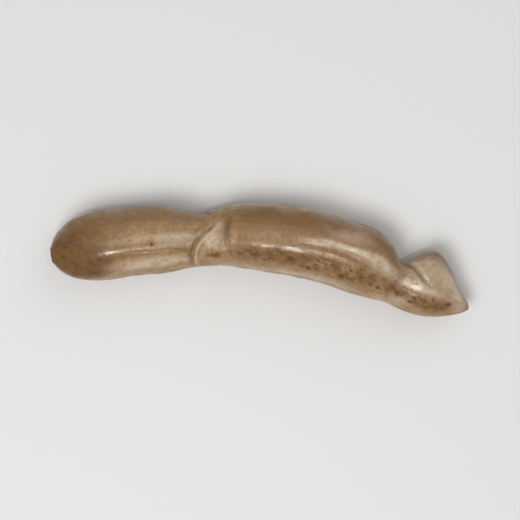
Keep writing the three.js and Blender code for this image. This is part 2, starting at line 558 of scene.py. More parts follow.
def dressed(tree, geometry, material):
    """The geometry as a real mesh in its material."""
    real = node(tree, "GeometryNodeRealizeInstances", {"Geometry": geometry}).outputs["Geometry"]
    made = node(tree, "GeometryNodeSetMaterial", {"Geometry": real, "Material": material})
    return made.outputs["Geometry"]


def noise(tree, place, size, detail=2.0, roughness=0.5):
    """Noise about 0 with lumps of about that size, in millimetres of the place given."""
    inputs = {"Vector": place, "Scale": 1 / size, "Detail": detail, "Roughness": roughness}
    made = node(tree, "ShaderNodeTexNoise", inputs)
    return calc(tree, "SUBTRACT", made.outputs[0], 0.5)


def bell_group():
    """1 at no distance, falling smoothly to 0 past the spread."""
    inputs = (("Distance", "Float", 0), ("Spread", "Float", 1))
    tree, given, out = new_group("Bell", "GeometryNodeTree", inputs, (("Value", "Float"),))
    share = calc(tree, "DIVIDE", given["Distance"], given["Spread"])
    feed(tree, out.inputs["Value"], calc(tree, "EXPONENT", times(tree, share, share, -1)))
    return tree


def falling(tree, bell, distance, spread):
    """What the bell group gives at a distance."""
    return use(tree, bell, {"Distance": distance, "Spread": spread})["Value"]


def degrees_apart(tree, degrees, angle):
    """The way round from an angle, between -180 and 180 degrees."""
    return calc(tree, "WRAP", calc(tree, "SUBTRACT", degrees, angle), 180, -180)


def ridge_group(bell):
    """One ridge along the pod, at an angle that swings over towards the point."""
    inputs = (
        ("Degrees", "Float", 0),
        ("Swing", "Float", 0),
        ("Angle", "Float", 0),
        ("Angle At Point", "Float", 0),
        ("Height", "Float", 0),
        ("Spread", "Float", 8),
    )
    outputs = (("Height", "Float"), ("Crest", "Float"))
    tree, given, out = new_group("Ridge", "GeometryNodeTree", inputs, outputs)
    turn = calc(tree, "SUBTRACT", given["Angle At Point"], given["Angle"])
    angle = calc(tree, "MULTIPLY_ADD", turn, given["Swing"], given["Angle"])
    apart = degrees_apart(tree, given["Degrees"], angle)
    wide = falling(tree, bell, apart, given["Spread"])
    narrow = falling(tree, bell, apart, times(tree, given["Spread"], 0.5))
    feed(tree, out.inputs["Height"], times(tree, wide, given["Height"]))
    feed(tree, out.inputs["Crest"], narrow)
    return tree


def patch_group(bell):
    """One soft oval patch on the skin."""
    inputs = (
        ("Along", "Float", 0),
        ("Degrees", "Float", 0),
        ("Place Along", "Float", 0),
        ("Place Degrees", "Float", 0),
        ("Reach Along", "Float", 1),
        ("Reach Round", "Float", 1),
        ("Strength", "Float", 1),
    )
    tree, given, out = new_group("Patch", "GeometryNodeTree", inputs, (("Value", "Float"),))
    ahead = calc(tree, "SUBTRACT", given["Along"], given["Place Along"])
    apart = degrees_apart(tree, given["Degrees"], given["Place Degrees"])
    lengthwise = falling(tree, bell, ahead, given["Reach Along"])
    crosswise = falling(tree, bell, apart, given["Reach Round"])
    feed(tree, out.inputs["Value"], times(tree, lengthwise, crosswise, given["Strength"]))
    return tree


def crease_group(bell):
    """How far the skin sinks into the nearest of some lines, with a low lip on either side."""
    inputs = (
        ("Lines", "Geometry", None),
        ("Flat Place", "Vector", None),
        ("Spread", "Float", 1),
        ("Lip Share", "Float", LIP_SHARE),
    )
    outputs = (("Height", "Float"), ("Closeness", "Float"))
    tree, given, out = new_group("Crease", "GeometryNodeTree", inputs, outputs)
    spot = {"Geometry": given["Lines"], "Sample Position": given["Flat Place"]}
    distance = node(tree, "GeometryNodeProximity", spot, target_element="EDGES").outputs["Distance"]
    nearest = node(tree, "GeometryNodeSampleNearest", spot, domain="EDGE")
    depth = node(tree, "GeometryNodeSampleIndex", {
        "Geometry": given["Lines"],
        "Value": named(tree, "depth"),
        "Index": nearest.outputs["Index"],
    }, domain="EDGE").outputs["Value"]
    groove = falling(tree, bell, distance, given["Spread"])
    past = calc(tree, "MULTIPLY_ADD", given["Spread"], -LIP_PLACE, distance)
    lip = falling(tree, bell, past, given["Spread"])
    form = calc(tree, "SUBTRACT", times(tree, lip, given["Lip Share"]), groove)
    feed(tree, out.inputs["Height"], times(tree, form, depth))
    full = calc(tree, "MINIMUM", times(tree, depth, FOLD_TONE), 1)
    feed(tree, out.inputs["Closeness"], times(tree, groove, full))
    return tree


def relief_group():
    """The small relief of the skin: lumps, streaks along it, grain, crust and ripples."""
    inputs = (
        ("Place", "Vector", None),
        ("Scurf", "Float", 0),
        ("Ripple", "Float", 0),
        ("Lump Height", "Float", 0.75),
        ("Streak Height", "Float", 0.16),
        ("Grain Height", "Float", 0.07),
        ("Crust Height", "Float", 0.3),
        ("Ripple Height", "Float", 0.07),
    )
    tree, given, out = new_group("Skin relief", "GeometryNodeTree", inputs, (("Height", "Float"),))
    place = given["Place"]
    drawn_out = vector_calc(tree, "MULTIPLY", place, (STREAK_SQUEEZE, 1, 1))
    crust = calc(tree, "MAXIMUM", noise(tree, place, CRUST_SIZE, 4, 0.65), 0)
    wander = times(tree, noise(tree, place, WANDER_SIZE), WANDER)
    wave = calc(tree, "MULTIPLY_ADD", parts_of(tree, place)["Y"], RIPPLE_TURN, wander)
    heights = (
        times(tree, noise(tree, place, LUMP_SIZE), given["Lump Height"]),
        times(tree, noise(tree, drawn_out, STREAK_WIDTH, 3), given["Streak Height"]),
        times(tree, noise(tree, place, GRAIN_SIZE), given["Grain Height"]),
        times(tree, crust, given["Scurf"], given["Crust Height"]),
        times(tree, calc(tree, "SINE", wave), given["Ripple"], given["Ripple Height"]),
    )
    feed(tree, out.inputs["Height"], total(tree, heights))
    return tree


def patches(tree, group, along, degrees, spots):
    """The sum of a list of patches, at most 1."""
    labels = ("Place Along", "Place Degrees", "Reach Along", "Reach Round", "Strength")
    values = []
    for spot in spots:
        inputs = {"Along": along, "Degrees": degrees, **dict(zip(labels, spot))}
        values.append(use(tree, group, inputs)["Value"])
    return calc(tree, "MINIMUM", total(tree, values), 1)


def ridges(tree, bell, place, degrees):
    """The heights of the ridges and grooves, and how near the skin is to a crest."""
    uneven = calc(tree, "MULTIPLY_ADD", noise(tree, place, UNEVEN_SIZE), UNEVEN, RIDGE_MEAN)
    kept = calc(tree, "MAXIMUM", calc(tree, "MINIMUM", uneven, RIDGE_MOST), RIDGE_LEAST)
    share = times(tree, kept, named(tree, "ridge_share"))
    strayed = calc(tree, "MULTIPLY_ADD", noise(tree, place, STRAY_SIZE), RIDGE_STRAY, degrees)
    group = ridge_group(bell)
    heights = []
    crests = []
    for angle, angle_at_point, height, spread in RIDGES:
        made = use(tree, group, {
            "Degrees": strayed,
            "Swing": named(tree, "swing"),
            "Angle": angle,
            "Angle At Point": angle_at_point,
            "Height": times(tree, share, height),
            "Spread": spread,
        })
        heights.append(made["Height"])
        if height > 0:
            crests.append(made["Crest"])
    return heights, times(tree, total(tree, crests), share)


def folds(tree, bell, given, flat_place):
    """The creases, wrinkles and lips: the name, height and closeness of each kind."""
    crease = crease_group(bell)
    kinds = (
        ("fold", "Creases", "Crease Spread", LIP_SHARE, 1),
        ("wrinkle", "Wrinkles", "Wrinkle Spread", LIP_SHARE, 1),
        ("lip", "Lips", "Lip Spread", 0, -1),
    )
    for name, lines, spread, lip_share, way in kinds:
        found = node(tree, "GeometryNodeObjectInfo", {"Object": given[lines]})
        made = use(tree, crease, {
            "Lines": found.outputs["Geometry"],
            "Flat Place": flat_place,
            "Spread": given[spread],
            "Lip Share": lip_share,
        })
        yield name, times(tree, made["Height"], way), made["Closeness"]


def end_marks(tree, bell, place, along):
    """How far the stalk's scar pushes the skin in, and where either end is browned."""
    radius = named(tree, "scar_radius")
    hollow = falling(tree, bell, radius, SCAR_REACH)
    rim = falling(tree, bell, calc(tree, "SUBTRACT", radius, SCAR_RIM_RADIUS), SCAR_RIM_SPREAD)
    frayed = calc(tree, "MULTIPLY_ADD", noise(tree, place, FRAY_SIZE), FRAY, 1)
    low_rim = times(tree, rim, frayed, -SCAR_RIM_HEIGHT)
    point = falling(tree, bell, calc(tree, "SUBTRACT", POD_LENGTH, along), POINT_REACH)
    browned = (hollow, times(tree, rim, RIM_BROWN), times(tree, point, POINT_BROWN))
    return calc(tree, "MULTIPLY_ADD", hollow, SCAR_DEPTH, low_rim), joined(tree, "MAXIMUM", browned)


def section_power(tree, part, fullness):
    """A sine or cosine turned into the fuller outline of the section."""
    power = calc(tree, "DIVIDE", 2, fullness)
    size = calc(tree, "POWER", calc(tree, "ABSOLUTE", part), power)
    return times(tree, calc(tree, "SIGN", part), size)


def skin_place(tree, given, cosine, sine, swell, sunk):
    """Where each point of the skin lies, in metres, with nothing below the table."""
    outwards = calc(tree, "GREATER_THAN", cosine, 0)
    inner = named(tree, "inner")
    wider = calc(tree, "SUBTRACT", named(tree, "outer"), inner)
    half_width = calc(tree, "ADD", calc(tree, "MULTIPLY_ADD", outwards, wider, inner), swell)
    half_height = calc(tree, "ADD", named(tree, "deep"), swell)
    across = times(tree, section_power(tree, cosine, given["Fullness"]), half_width)
    rise = times(tree, section_power(tree, sine, given["Fullness"]), half_height)
    aside = scaled(tree, named(tree, "side", "FLOAT_VECTOR"), across)
    parts = parts_of(tree, vector_calc(tree, "ADD", named(tree, "centre", "FLOAT_VECTOR"), aside))
    ahead = calc(tree, "ADD", parts["X"], sunk)
    top = calc(tree, "MAXIMUM", calc(tree, "ADD", parts["Z"], rise), 0)
    return scaled(tree, vector(tree, X=ahead, Y=parts["Y"], Z=top), MM)


def spine_tube(tree, given):
    """A tube round the spine, whose points know their turn round the section."""
    circle = node(tree, "GeometryNodeCurvePrimitiveCircle", {"Resolution": given["Sides"]})
    factor = node(tree, "GeometryNodeSplineParameter").outputs["Factor"]
    profile = store(tree, circle.outputs["Curve"], "turn", times(tree, factor, math.tau))
    spine = node(tree, "GeometryNodeMeshToCurve", {"Mesh": given["Spine"]})
    tube = node(tree, "GeometryNodeCurveToMesh", {
        "Curve": spine.outputs["Curve"],
        "Profile Curve": profile,
        "Fill Caps": True,
    })
    return tube.outputs["Mesh"]


def skin_tree(material):
    """The skin: a tube round the spine, with its sections, ridges, seeds, creases and relief."""
    inputs = (
        ("Spine", "Geometry", None),
        ("Creases", "Object", None),
        ("Wrinkles", "Object", None),
        ("Lips", "Object", None),
        ("Sides", "Int", SIDE_COUNT),
        ("Fullness", "Float", FULLNESS),
        ("Girth Radius", "Float", GIRTH_RADIUS),
        ("Crease Spread", "Float", CREASE_SPREAD),
        ("Wrinkle Spread", "Float", WRINKLE_SPREAD),
        ("Lip Spread", "Float", LIP_SPREAD),
    )
    tree, given, out = new_group("Pod skin", "GeometryNodeTree", inputs, (("Skin", "Geometry"),))
    tree.is_modifier = True
    bell = bell_group()

    turn = named(tree, "turn")
    along = named(tree, "along")
    cosine = calc(tree, "COSINE", turn)
    sine = calc(tree, "SINE", turn)
    degrees = calc(tree, "DEGREES", turn)
    girth = given["Girth Radius"]
    straight = vector(tree, X=along, Y=times(tree, cosine, girth), Z=times(tree, sine, girth))
    flat = vector(tree, X=along, Y=times(tree, turn, girth))

    skin = store(tree, spine_tube(tree, given), "straight_place", straight, "FLOAT_VECTOR")
    patch = patch_group(bell)
    for name, spots in PATCH_LISTS.items():
        skin = store(tree, skin, name, patches(tree, patch, along, degrees, spots))

    heights, crest = ridges(tree, bell, straight, degrees)
    # How near each point is to a ridge crest, for the painted highlight along it.
    skin = store(tree, skin, "crest", crest)
    heights.append(times(tree, sine, sine, named(tree, "seed_swell")))
    for name, height, closeness in folds(tree, bell, given, flat):
        heights.append(height)
        skin = store(tree, skin, name, closeness)
    small = use(tree, relief_group(), {
        "Place": straight,
        "Scurf": named(tree, "scurf"),
        "Ripple": named(tree, "ripple"),
    })
    heights.append(small["Height"])
    swell = times(tree, total(tree, heights), named(tree, "relief_share"))

    sunk, browned = end_marks(tree, bell, straight, along)
    skin = store(tree, skin, "scar", browned)
    place = skin_place(tree, given, cosine, sine, swell, sunk)
    placed = node(tree, "GeometryNodeSetPosition", {"Geometry": skin, "Position": place})
    smooth = node(tree, "GeometryNodeSetShadeSmooth", {"Geometry": placed.outputs["Geometry"]})
    feed(tree, out.inputs["Skin"], dressed(tree, smooth.outputs["Geometry"], material))
    return tree


def section_slopes():
    """How fast each column of SECTIONS changes at each section, from the runs on either side."""
    runs = []
    for left, right in zip(SECTIONS, SECTIONS[1:]):
        width = right[0] - left[0]
        runs.append([(b - a) / width for a, b in zip(left[1:], right[1:])])
    slopes = [runs[0]]
    for before, after in zip(runs, runs[1:]):
        slopes.append([(a + b) / 2 for a, b in zip(before, after)])
    slopes.append(runs[-1])
    return slopes


SLOPES = section_slopes()


def section_at(along):
    """Bend, outer, inner and deep at a distance along the pod, smooth through SECTIONS."""
    along = min(max(along, 0), POD_LENGTH)
    right = next(i for i in range(1, len(SECTIONS)) if along <= SECTIONS[i][0])
    left = right - 1
    width = SECTIONS[right][0] - SECTIONS[left][0]
    t = (along - SECTIONS[left][0]) / width
    ease = t * t * (3 - 2 * t)
    lead = t * (1 - t) ** 2 * width
    trail = t * t * (t - 1) * width
    columns = zip(SECTIONS[left][1:], SECTIONS[right][1:], SLOPES[left], SLOPES[right])
    return [a + (b - a) * ease + lead * m + trail * n for a, b, m, n in columns]


def round_off(share):
    """A quarter circle from 0 to 1."""
    return math.sqrt(1 - (1 - min(share, 1)) ** 2)


def end_share(along):
    """Share of the girth that is left near either end."""
    return round_off(along / DOME_REACH) * round_off((POD_LENGTH - along) / TIP_REACH)


def spine_point(along):
    """The middle line at a distance along the pod."""
    past = max(along - SINK_START, 0) / (POD_LENGTH - SINK_START)
    return Vector((along, section_at(along)[0], REST_HEIGHT - POINT_SINK * past ** 2))


def spine_side(along):
    """The way to the outside of the bend, square to the middle line."""
    tangent = spine_point(along + 0.5) - spine_point(along - 0.5)
    return Vector((-tangent.y, tangent.x, 0)).normalized()


def quarter_turn(reach, count):
    """Distances from an end at even turns round a quarter circle."""
    return [reach * (1 - math.cos((i + 0.5) / count * math.pi / 2)) for i in range(count)]


def ring_places():
    """Distances of the rings: even turns round the dome and the point, even steps between them."""
    length = POD_LENGTH - DOME_REACH - TIP_REACH
    count = round(length / BODY_STEP)
    body = [DOME_REACH + length * (i + 0.5) / count for i in range(count)]
    tip = [POD_LENGTH - place for place in reversed(quarter_turn(TIP_REACH, TIP_RINGS))]
    return quarter_turn(DOME_REACH, DOME_RINGS) + body + tip


def smooth_step(start, end, value):
    """0 before the start, 1 past the end, smooth between."""
    share = min(max((value - start) / (end - start), 0), 1)
    return share * share * (3 - 2 * share)


def hump(along, place, reach):
    """1 at a place along the pod, falling smoothly to 0 past the reach."""
    return math.exp(-(((along - place) / reach) ** 2))


def ridge_share(along, swing):
    """Share of their height that the ridges have at a distance along the pod."""
    calm_place, calm_reach, calm_share = RIDGE_CALM
    left = 1 - (1 - RIDGE_LEFT_AT_POINT) * swing
    calm = calm_share * hump(along, calm_place, calm_reach)
    return smooth_step(*RIDGE_START, along) * left * (1 - calm)


def spine_numbers(places):
    """What the points of the spine carry, in millimetres and shares, by name."""
    shares = [end_share(along) for along in places]
    sections = [section_at(along) for along in places]
    swings = [smooth_step(SWING_START, POD_LENGTH, along) for along in places]
    numbers = {"along": places, "swing": swings}
    for column, name in enumerate(("outer", "inner", "deep"), 1):
        numbers[name] = [section[column] * share for section, share in zip(sections, shares)]
    numbers["relief_share"] = [
        share * min(section[3] / REST_HEIGHT, 1) for section, share in zip(sections, shares)
    ]
    numbers["ridge_share"] = [ridge_share(along, swing) for along, swing in zip(places, swings)]
    numbers["scar_radius"] = [
        SECTIONS[0][2] * share if along < DOME_REACH else POD_LENGTH
        for along, share in zip(places, shares)
    ]
    numbers["seed_swell"] = [
        sum(SEED_SWELL * hump(along, place, SEED_SPREAD) for place in SEED_PLACES) for along in places
    ]
    return numbers


def keep_values(mesh, name, sort, values, domain="POINT"):
    """Stores one value for each point or edge of a mesh."""
    field = "vector" if sort == "FLOAT_VECTOR" else "value"
    flat = [part for value in values for part in value] if sort == "FLOAT_VECTOR" else list(values)
    mesh.attributes.new(name, sort, domain).data.foreach_set(field, flat)


def linked(name, mesh):
    """A new object in the scene."""
    made = bpy.data.objects.new(name, mesh)
    bpy.context.scene.collection.objects.link(made)
    return made


def spine_object():
    """The spine as a line of points that carry the sizes of their sections."""
    places = ring_places()
    centres = [spine_point(along) for along in places]
    mesh = bpy.data.meshes.new("spine")
    mesh.from_pydata(centres, [(i, i + 1) for i in range(len(places) - 1)], [])
    keep_values(mesh, "centre", "FLOAT_VECTOR", centres)
    keep_values(mesh, "side", "FLOAT_VECTOR", [spine_side(along) for along in places])
    for name, numbers in spine_numbers(places).items():
        keep_values(mesh, name, "FLOAT", numbers)
    return linked("pod_skin", mesh)


def curve_part(t, before, start, end, after):
    """One coordinate of a smooth curve, a share t of the way from its start to its end."""
    lead = (end - before) / 2
    bend = before - 2.5 * start + 2 * end - after / 2
    twist = 1.5 * (start - end) + (after - before) / 2
    return start + t * (lead + t * (bend + t * twist))


def curved(places):
    """Points of a smooth curve through some places, CURVE_STEPS from each to the next."""
    ends = [places[0], *places, places[-1]]
    points = []
    for corners in zip(ends, ends[1:], ends[2:], ends[3:]):
        for step in range(CURVE_STEPS):
            points.append([curve_part(step / CURVE_STEPS, *parts) for parts in zip(*corners)])
    points.append(places[-1])
    return points


def lines_object(name, lines):
    """Curves on the unrolled skin, each (depth, places), shallow at both ends.

    Each is repeated a full turn to either side, so that distances carry on round the pod.
    """
    points = []
    edges = []
    depths = []
    for depth, *places in lines:
        curve = curved(places)
        runs = len(curve) - 1
        for full_turn in (-360, 0, 360):
            start = len(points)
            points += [
                (along, math.radians(degrees + full_turn) * GIRTH_RADIUS, 0) for along, degrees in curve
            ]
            edges += [(i, i + 1) for i in range(start, len(points) - 1)]
            depths += [depth * math.sin(math.pi * (i + 0.5) / runs) ** FOLD_TAPER for i in range(runs)]
    mesh = bpy.data.meshes.new(name)
    mesh.from_pydata(points, edges, [])
    keep_values(mesh, "depth", "FLOAT", depths, "EDGE")
    return linked(name, mesh)


def wrinkle_lines():
    """Short wrinkles, gathered at the waists and drawn out along the body."""
    draw = random.Random(WRINKLE_SEED)
    lines = []
    for way, middle, stray, count in WRINKLE_FIELDS:
        for _ in range(count):
            along = draw.gauss(middle, stray)
            degrees = draw.uniform(0, 360)
            depth = draw.uniform(*WRINKLE_DEPTHS[way])
            reach = draw.uniform(*WRINKLE_REACHES[way])
            slant = draw.uniform(-WRINKLE_SLANT, WRINKLE_SLANT)
            bow = draw.uniform(-WRINKLE_BOW, WRINKLE_BOW)
            if way == "round":
                steps = (-1, -0.4, 0.3, 1)
                places = [(along + slant * k + bow * k * k, degrees + reach * k) for k in steps]
            else:
                steps = (-1, 0, 1)
                places = [(along + reach * k, degrees + 4 * (slant * k + bow * k * k)) for k in steps]
            lines.append((depth, *places))
    return lines


def set_inputs(modifier, values):
    """Sets a geometry nodes modifier's inputs, found by name, by their identifiers."""
    for item in modifier.node_group.interface.items_tree:
        if item.item_type == "SOCKET" and item.in_out == "INPUT" and item.name in values:
            modifier[item.identifier] = values[item.name]


def plain_mesh(made, kept):
    """Turns what the modifiers give into the object's own mesh, with only the kept values on it."""
    graph = bpy.context.evaluated_depsgraph_get()
    mesh = bpy.data.meshes.new_from_object(
        made.evaluated_get(graph), preserve_all_data_layers=True, depsgraph=graph
    )
    made.modifiers.clear()
    made.data = mesh
    for name in SPINE_VALUES + SKIN_VALUES + FLAKE_VALUES:
        if name in mesh.attributes and name not in kept:
            mesh.attributes.remove(mesh.attributes[name])
    return made


def centred(made):
    """Sets the mesh over the middle of the CAD box, standing on its floor."""
    xs, ys, zs = zip(*(vertex.co for vertex in made.data.vertices))
    low, high = cad_box
    shift = Vector((
        (low.x + high.x - min(xs) - max(xs)) / 2,
        (low.y + high.y - min(ys) - max(ys)) / 2,
        low.z - min(zs),
    ))
    for vertex in made.data.vertices:
        vertex.co += shift
    return made


def make_skin(material):
    """The pod's skin, as one mesh."""
    skin = spine_object()
    lines = {
        "Creases": lines_object("crease_lines", CREASES),
        "Wrinkles": lines_object("wrinkle_lines", [*FURROWS, *wrinkle_lines()]),
        "Lips": lines_object("lip_lines", LIPS),
    }
    modifier = skin.modifiers.new("Skin", "NODES")
    modifier.node_group = skin_tree(material)
    set_inputs(modifier, {**lines, "Sides": SIDE_COUNT})
    plain_mesh(skin, SKIN_VALUES)
    for helper in lines.values():
        bpy.data.objects.remove(helper)
    return centred(skin)


def chance(tree, low, high, seed):
    """A random number for each flake."""
    made = node(tree, "FunctionNodeRandomValue", {"Min": low, "Max": high, "Seed": seed})
    return socket(made.outputs, "Value")


def flake_density(tree, given):
    """Flakes for each square metre: clumped on the scurf, few elsewhere, none near the table."""
    place = named(tree, "straight_place", "FLOAT_VECTOR")
    clumps = times(tree, calc(tree, "MAXIMUM", noise(tree, place, CLUMP_SIZE, 3, 0.6), 0), CLUMP_GAIN)
    scurf = named(tree, "scurf")
    share = calc(tree, "ADD", times(tree, scurf, scurf, clumps), STRAY_FLAKES)
    height = parts_of(tree, node(tree, "GeometryNodeInputPosition").outputs["Position"])["Z"]
    off_table = calc(tree, "GREATER_THAN", height, TABLE_GAP)
    return times(tree, share, off_table, given["Flakes Per Square Metre"])


def flake_shape(tree, given):
    """A low flat-topped cone, sunk a little way into the skin."""
    cone = node(tree, "GeometryNodeMeshCone", {
        "Vertices": FLAKE_SIDES,
        "Radius Top": times(tree, given["Flake Radius"], FLAKE_TOP_SHARE),
        "Radius Bottom": given["Flake Radius"],
        "Depth": given["Flake Height"],
    })
    lower = vector(tree, Z=times(tree, given["Flake Height"], -FLAKE_SUNK_SHARE))
    sunk = node(tree, "GeometryNodeTransform", {"Geometry": cone.outputs["Mesh"], "Translation": lower})
    return sunk.outputs["Geometry"]


def flake_turn(tree, rotation):
    """The skin's own slope, with a random spin of each flake."""
    spin = node(tree, "FunctionNodeAxisAngleToRotation", {
        "Axis": (0, 0, 1),
        "Angle": chance(tree, 0, math.tau, 11),
    })
    inputs = {"Rotation": rotation, "Rotate By": spin.outputs["Rotation"]}
    return node(tree, "FunctionNodeRotateRotation", inputs, rotation_space="LOCAL").outputs["Rotation"]


def flake_size(tree):
    """Random lengths and widths, with small flakes more common than large ones."""
    whole = calc(tree, "POWER", chance(tree, 0.45, 1.25, 16), 1.7)
    length = times(tree, whole, chance(tree, 0.7, 1.6, 12))
    width = times(tree, whole, chance(tree, 0.6, 1.2, 13))
    return vector(tree, X=length, Y=width, Z=chance(tree, 0.6, 1.3, 14))


def scurf_tree(material):
    """Small brown flakes on the skin, thick where the scurf is."""
    inputs = (
        ("Skin", "Geometry", None),
        ("Flakes Per Square Metre", "Float", 1.6e7),
        ("Flake Radius", "Float", 0.19 * MM),
        ("Flake Height", "Float", 0.07 * MM),
        ("Seed", "Int", 7),
    )
    tree, given, out = new_group("Scurf flakes", "GeometryNodeTree", inputs, (("Flakes", "Geometry"),))
    tree.is_modifier = True
    spread = node(tree, "GeometryNodeDistributePointsOnFaces", {
        "Mesh": given["Skin"],
        "Density": flake_density(tree, given),
        "Seed": given["Seed"],
    })
    flakes = node(tree, "GeometryNodeInstanceOnPoints", {
        "Points": spread.outputs["Points"],
        "Instance": flake_shape(tree, given),
        "Rotation": flake_turn(tree, spread.outputs["Rotation"]),
        "Scale": flake_size(tree),
    })
    tone = chance(tree, 0, 1, 15)
    toned = store(tree, flakes.outputs["Instances"], "tone", tone, domain="INSTANCE")
    real = node(tree, "GeometryNodeRealizeInstances", {"Geometry": toned})
    here = node(tree, "GeometryNodeInputPosition").outputs["Position"]
    ragged = node(tree, "ShaderNodeTexNoise", {"Vector": here, "Scale": 1 / RAGGED_SIZE, "Detail": 1})
    stray = scaled(tree, about_zero(tree, ragged.outputs["Color"]), RAGGED_REACH)
    moved = node(tree, "GeometryNodeSetPosition", {
        "Geometry": real.outputs["Geometry"],
        "Offset": stray,
    })
    feed(tree, out.inputs["Flakes"], dressed(tree, moved.outputs["Geometry"], material))
    return tree


def about_zero(tree, colour):
    """A noise colour as a vector about 0."""
    return vector_calc(tree, "SUBTRACT", colour, (0.5, 0.5, 0.5))


def make_scurf(skin, material):
    """The flakes, as one mesh."""
    flakes = linked("pod_scurf", skin.data.copy())
    modifier = flakes.modifiers.new("Scurf", "NODES")
    modifier.node_group = scurf_tree(material)
    return plain_mesh(flakes, FLAKE_VALUES)


def new_material(name):
    """A material, its tree and its surface shader."""
    material = bpy.data.materials.new(name)
    material.use_nodes = True
    return material, material.node_tree, material.node_tree.nodes["Principled BSDF"]


def mottle_group():
    """Soft blotches from 0 to 1."""
    inputs = (
        ("Place", "Vector", None),
        ("Size", "Float", 10),
        ("Detail", "Float", 3),
        ("Contrast", "Float", 1.6),
    )
    tree, given, out = new_group("Mottle", "ShaderNodeTree", inputs, (("Share", "Float"),))
    made = node(tree, "ShaderNodeTexNoise", {
        "Vector": given["Place"],
        "Scale": calc(tree, "DIVIDE", 1, given["Size"]),
        "Detail": given["Detail"],
        "Roughness": 0.58,
    })
    swing = times(tree, calc(tree, "SUBTRACT", made.outputs[0], 0.5), given["Contrast"])
    feed(tree, out.inputs["Share"], clamped(calc(tree, "ADD", swing, 0.5)))
    return tree


def streak_group(mottle):
    """Fine streaks along the pod, from 0 to 1."""
    inputs = (
        ("Place", "Vector", None),
        ("Width", "Float", 0.8),
        ("Length Share", "Float", 0.07),
        ("Contrast", "Float", 2.2),
    )
    tree, given, out = new_group("Streaks", "ShaderNodeTree", inputs, (("Share", "Float"),))
    squeeze = vector(tree, X=given["Length Share"], Y=1, Z=1)
    drawn_out = vector_calc(tree, "MULTIPLY", given["Place"], squeeze)
    inputs = {"Place": drawn_out, "Size": given["Width"], "Contrast": given["Contrast"]}
    feed(tree, out.inputs["Share"], use(tree, mottle, inputs)["Share"])
    return tree


def speckle_group():
    """Small round specks, scattered over a share of the cells they could be in."""
    inputs = (
        ("Place", "Vector", None),
        ("Size", "Float", 0.8),
        ("Share", "Float", 0.3),
    )
    tree, given, out = new_group("Speckles", "ShaderNodeTree", inputs, (("Mask", "Float"),))
    ragged = node(tree, "ShaderNodeTexNoise", {"Vector": given["Place"], "Scale": 2.2, "Detail": 2})
    stray = scaled(tree, about_zero(tree, ragged.outputs["Color"]), 0.9)
    cells = node(tree, "ShaderNodeTexVoronoi", {
        "Vector": vector_calc(tree, "ADD", given["Place"], stray),
        "Scale": calc(tree, "DIVIDE", 1, given["Size"]),
    })
    pick = node(tree, "ShaderNodeSeparateColor", {"Color": cells.outputs["Color"]})
    chosen = calc(tree, "LESS_THAN", pick.outputs["Red"], given["Share"])
    reach = calc(tree, "MULTIPLY_ADD", pick.outputs["Green"], SPECK_SPAN, SPECK_LEAST)
    inside = node(tree, "ShaderNodeMapRange", {
        "Value": cells.outputs["Distance"],
        "From Min": reach,
        "From Max": times(tree, reach, SPECK_CORE),
    }, interpolation_type="SMOOTHSTEP")
    feed(tree, out.inputs["Mask"], times(tree, chosen, inside.outputs["Result"]))
    return tree


def crumb_group():
    """Ragged crumbs of colour: where noise rises over a level, from 0 to 1."""
    inputs = (
        ("Place", "Vector", None),
        ("Size", "Float", 1.6),
        ("Level", "Float", 0.52),
    )
    tree, given, out = new_group("Crumbs", "ShaderNodeTree", inputs, (("Mask", "Float"),))
    made = node(tree, "ShaderNodeTexNoise", {
        "Vector": given["Place"],
        "Scale": calc(tree, "DIVIDE", 1, given["Size"]),
        "Detail": 4,
        "Roughness": 0.62,
    })
    rise = node(tree, "ShaderNodeMapRange", {
        "Value": made.outputs[0],
        "From Min": given["Level"],
        "From Max": calc(tree, "ADD", given["Level"], CRUMB_EDGE),
    }, interpolation_type="SMOOTHSTEP")
    feed(tree, out.inputs["Mask"], rise.outputs["Result"])
    return tree


def blend(tree, share, first, second):
    """The colour between two colours, at a share from 0 to 1."""
    made = node(tree, "ShaderNodeMix", {"Factor": share, "A": first, "B": second}, data_type="RGBA")
    return socket(made.outputs, "Result")


def layered(tree, colour, layers):
    """The colour under some layers, each a tone and the masks that it is laid on by."""
    for tone, *masks in layers:
        colour = blend(tree, times(tree, *masks), colour, tone)
    return colour


def painted(tree, name):
    """A mask kept on the points of the mesh."""
    return node(tree, "ShaderNodeAttribute", attribute_name=name).outputs["Fac"]


def ground(tree, name, breakup, gain):
    """A painted mask whose edge and middle are broken up by a mottle."""
    widened = calc(tree, "MULTIPLY_ADD", painted(tree, name), 1 + gain, -gain)
    return clamped(calc(tree, "MULTIPLY_ADD", breakup, gain, widened))


def bumps(tree, surface, strength, distance, height):
    """Gives the surface fine bumps from a height."""
    inputs = {"Strength": strength, "Distance": distance, "Height": height}
    feed(tree, surface.inputs["Normal"], node(tree, "ShaderNodeBump", inputs).outputs["Normal"])


